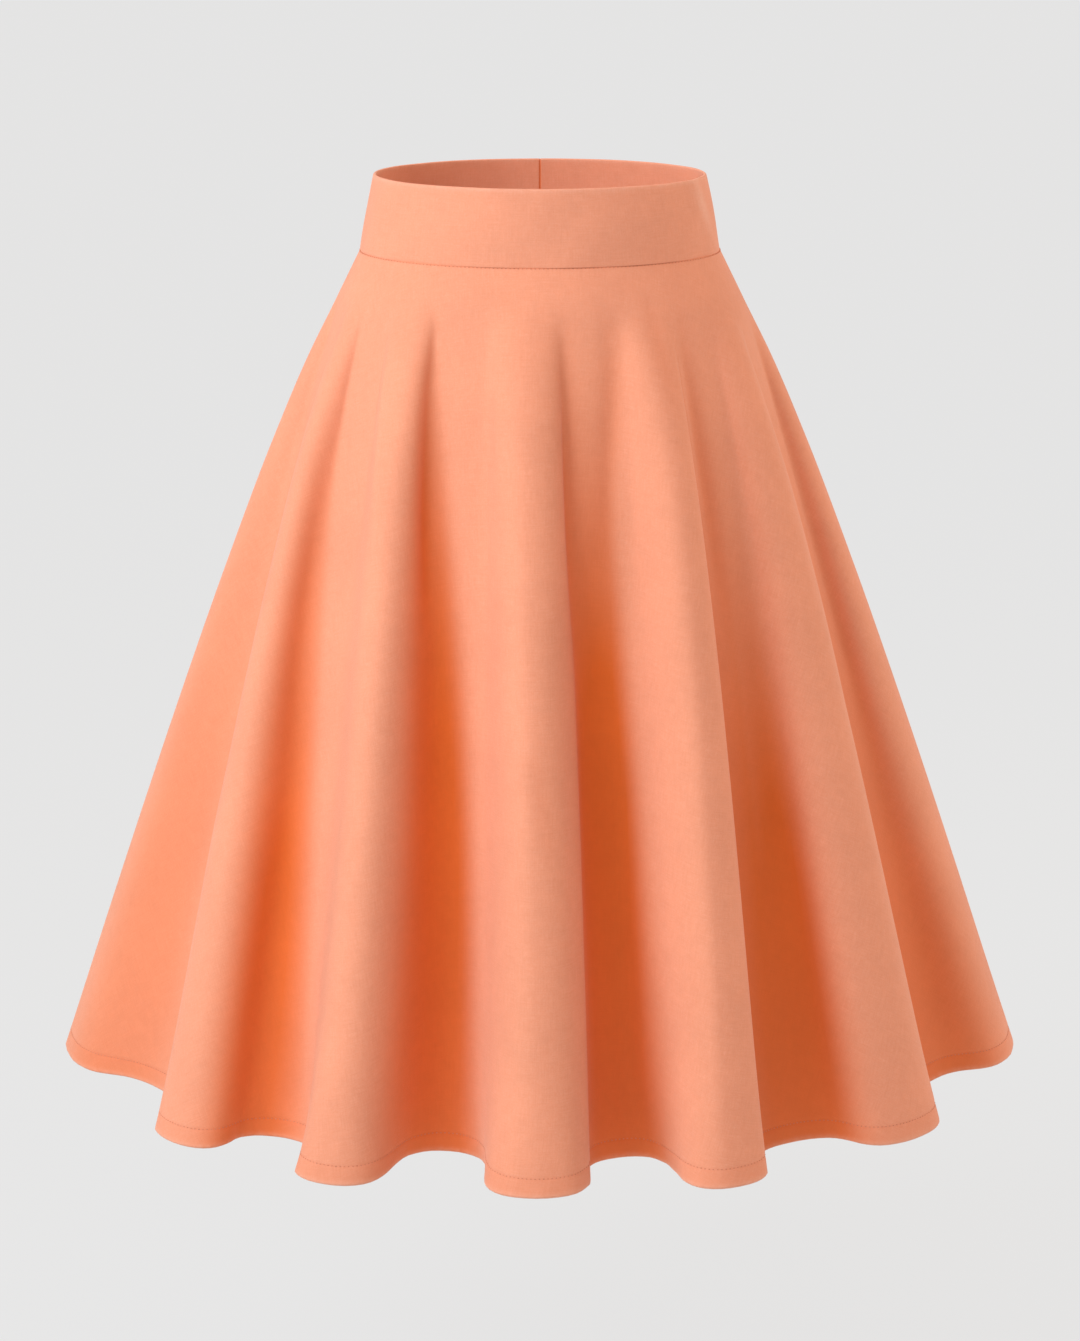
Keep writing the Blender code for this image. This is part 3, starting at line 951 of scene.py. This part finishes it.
class SkirtLight(bpy.types.PropertyGroup):
    """The studio's light and backdrop."""

    left_power: FloatProperty(
        name="Left Power", description="Power of the left panel", default=52.0, unit="POWER"
    )
    right_power: FloatProperty(
        name="Right Power", description="Power of the right panel", default=23.5, unit="POWER"
    )
    front_power: FloatProperty(
        name="Front Power", description="Power of the front panel", default=10.0, unit="POWER"
    )
    surround: FloatProperty(name="Surround", description="Strength of the room's light", default=0.62)
    surround_tint: FloatVectorProperty(
        name="Surround Tint", description="Colour of that light", default=(1.0, 0.66, 0.47), subtype="COLOR"
    )
    backdrop_paint: FloatVectorProperty(
        name="Backdrop Paint", description="Grey of the paper", default=(0.060, 0.071, 0.080), subtype="COLOR"
    )
    backdrop_glow: FloatProperty(
        name="Backdrop Glow", description="Light that the backdrop gives", default=0.735
    )
    far_backdrop: FloatProperty(
        name="Far Backdrop", description="Light that is seen past the backdrop's edge", default=0.775
    )
    floor_drop: FloatProperty(
        name="Floor Drop", description="The floor's depth below the hem", default=0.35, unit="LENGTH"
    )


class SKIRT_OT_waistband(bpy.types.Operator):
    """Makes the double waistband, its ends meeting at centre back"""

    bl_idname = "skirt.waistband"
    bl_label = "Make Waistband"

    def execute(self, context):
        sizes, colours = context.scene.skirt_sizes, context.scene.skirt_colours
        grid, outwards, flat, marks, cut = band_grid(sizes)
        mesh = cloth_mesh("skirt_waistband", grid, outwards, sizes.cloth_wall, flat, marks)
        outside = cloth_material("woven_cloth", colours.dye, 1.0, colours)
        # The band's inside is the same cloth, painted darker as shade.
        inside = cloth_material("woven_band_inside", colours.band_inside_shade, INNER_FOLD_SHARE, colours)
        band = add_piece("skirt_waistband", mesh, [outside, inside], ["waistband"])
        return {"FINISHED"}


class SKIRT_OT_panels(bpy.types.Operator):
    """Makes the front and back panels with their folds, creases, seams and hems, and the stitches"""

    bl_idname = "skirt.panels"
    bl_label = "Make Panels"

    def execute(self, context):
        sizes, colours = context.scene.skirt_sizes, context.scene.skirt_colours
        outside = cloth_material("woven_cloth", colours.dye, 1.0, colours)
        inside = cloth_material("woven_inside", colours.inner_dye, INNER_FOLD_SHARE, colours)
        sides = (("front", LEFT_SEAM, RIGHT_SEAM), ("back", RIGHT_SEAM, LEFT_SEAM + len(FOLDS)))
        for side, first_seam, last_seam in sides:
            grid, outwards, flat, marks, cut, area, stitch_rows = panel_grid(first_seam, last_seam, sizes)
            name = f"skirt_{side}"
            mesh = cloth_mesh(name, grid, outwards, sizes.cloth_wall, flat, marks)
            panel = add_piece(name, mesh, [outside, inside], [f"{side}_panel"])
            for line, (points, normals) in stitch_rows.items():
                title = f"{line}_stitches_{side}"
                thread = bpy.data.meshes.new(title)
                places, faces = stitch_line(points, normals, sizes)
                thread.from_pydata(places.tolist(), [], faces)
                thread.shade_smooth()
                add_piece(title, thread, [thread_material(colours)])
        return {"FINISHED"}


class SKIRT_OT_stage(bpy.types.Operator):
    """Makes the camera, the soft light and the pale floor that curves up into a wall"""

    bl_idname = "skirt.stage"
    bl_label = "Make Stage"

    def execute(self, context):
        light = context.scene.skirt_light
        self.add_camera(context)
        self.add_backdrop(context, light)
        self.add_light(context, light)
        return {"FINISHED"}

    def add_camera(self, context):
        data = bpy.data.cameras.new("photo_camera")
        data.lens = CAMERA_LENS
        data.sensor_width = CAMERA_SENSOR
        camera = bpy.data.objects.new("photo_camera", data)
        camera.location = (
            0,
            -CAMERA_DISTANCE * np.cos(CAMERA_PITCH),
            CAMERA_TARGET + CAMERA_DISTANCE * np.sin(CAMERA_PITCH),
        )
        camera.rotation_euler = (np.pi / 2 - CAMERA_PITCH, 0, 0)
        context.scene.collection.objects.link(camera)
        context.scene.camera = camera

    def add_backdrop(self, context, light):
        """A floor, a quarter circle and a wall, as one profile of points carried straight across."""
        floor = -HEM.drop - light.floor_drop
        bend_radius, back, reach, height = 2.0, 6.0, 6.0, 6.0
        bend = np.linspace(0, np.pi / 2, 24)
        y = np.concatenate([[-reach], back - bend_radius + bend_radius * np.sin(bend), [back]])
        z = np.concatenate([[floor], floor + bend_radius * (1 - np.cos(bend)), [floor + height]])
        x = np.linspace(-reach, reach, 3)
        grid = np.stack(np.broadcast_arrays(x[None, :], y[:, None], z[:, None]), axis=-1)[::-1]
        mesh = bpy.data.meshes.new("backdrop")
        mesh.from_pydata(grid.reshape(-1, 3).tolist(), [], quads_of(*grid.shape[:2]).tolist())
        mesh.shade_smooth()
        mesh.materials.append(stage_material(light))
        backdrop = bpy.data.objects.new("backdrop", mesh)
        context.scene.collection.objects.link(backdrop)

    def add_light(self, context, light):
        """Square soft panels that face the skirt's middle, in a warm room that the camera sees as paper."""
        middle = -HEM.drop / 2
        for panel, power in zip(LIGHT_PANELS, (light.left_power, light.right_power, light.front_power)):
            data = bpy.data.lights.new(panel.name, "AREA")
            data.energy = power
            data.color = panel.colour
            data.size = panel.size
            lamp = bpy.data.objects.new(panel.name, data)
            turn, height = np.radians(panel.turn), np.radians(panel.height)
            flat = panel.distance * np.cos(height)
            rise = panel.distance * np.sin(height)
            lamp.location = (flat * np.sin(turn), -flat * np.cos(turn), middle + rise)
            lamp.rotation_euler = (np.pi / 2 - height, 0, turn)
            context.scene.collection.objects.link(lamp)
        world = bpy.data.worlds.new("warm_room")
        world.use_nodes = True
        tree = world.node_tree
        room = tree.nodes["Background"]
        room.inputs["Color"].default_value = (*light.surround_tint, 1.0)
        room.inputs["Strength"].default_value = light.surround
        paper = tree.nodes.new("ShaderNodeBackground")
        paper.inputs["Color"].default_value = (1.0, 1.0, 1.0, 1.0)
        paper.inputs["Strength"].default_value = light.far_backdrop
        seen = tree.nodes.new("ShaderNodeLightPath")
        mix = tree.nodes.new("ShaderNodeMixShader")
        tree.links.new(seen.outputs["Is Camera Ray"], mix.inputs["Fac"])
        tree.links.new(room.outputs["Background"], mix.inputs[1])
        tree.links.new(paper.outputs["Background"], mix.inputs[2])
        tree.links.new(mix.outputs["Shader"], tree.nodes["World Output"].inputs["Surface"])
        context.scene.world = world
        context.scene.view_settings.view_transform = "Standard"


class SKIRT_PT_maker(bpy.types.Panel):
    """Lists the skirt's sizes, colours and light, and what makes its pieces"""

    bl_idname = "SKIRT_PT_maker"
    bl_label = "A-Line Skirt"
    bl_space_type = "VIEW_3D"
    bl_region_type = "UI"
    bl_category = "Skirt"

    def draw(self, context):
        for settings in (context.scene.skirt_sizes, context.scene.skirt_colours, context.scene.skirt_light):
            box = self.layout.box()
            for name in settings.bl_rna.properties.keys():
                if name not in {"rna_type", "name"}:
                    box.prop(settings, name)
        for operator in OPERATORS:
            self.layout.operator(operator.bl_idname)


SETTINGS = {"skirt_sizes": SkirtSizes, "skirt_colours": SkirtColours, "skirt_light": SkirtLight}
OPERATORS = (SKIRT_OT_waistband, SKIRT_OT_panels, SKIRT_OT_stage)


def register():
    for name, settings in SETTINGS.items():
        bpy.utils.register_class(settings)
        setattr(bpy.types.Scene, name, PointerProperty(type=settings))
    for shown in (*OPERATORS, SKIRT_PT_maker):
        bpy.utils.register_class(shown)


def unregister():
    for shown in (SKIRT_PT_maker, *reversed(OPERATORS)):
        bpy.utils.unregister_class(shown)
    for name, settings in SETTINGS.items():
        delattr(bpy.types.Scene, name)
        bpy.utils.unregister_class(settings)


def main():
    register()
    bpy.ops.skirt.waistband()
    bpy.ops.skirt.panels()
    bpy.ops.skirt.stage()


if __name__ == "__main__":
    main()
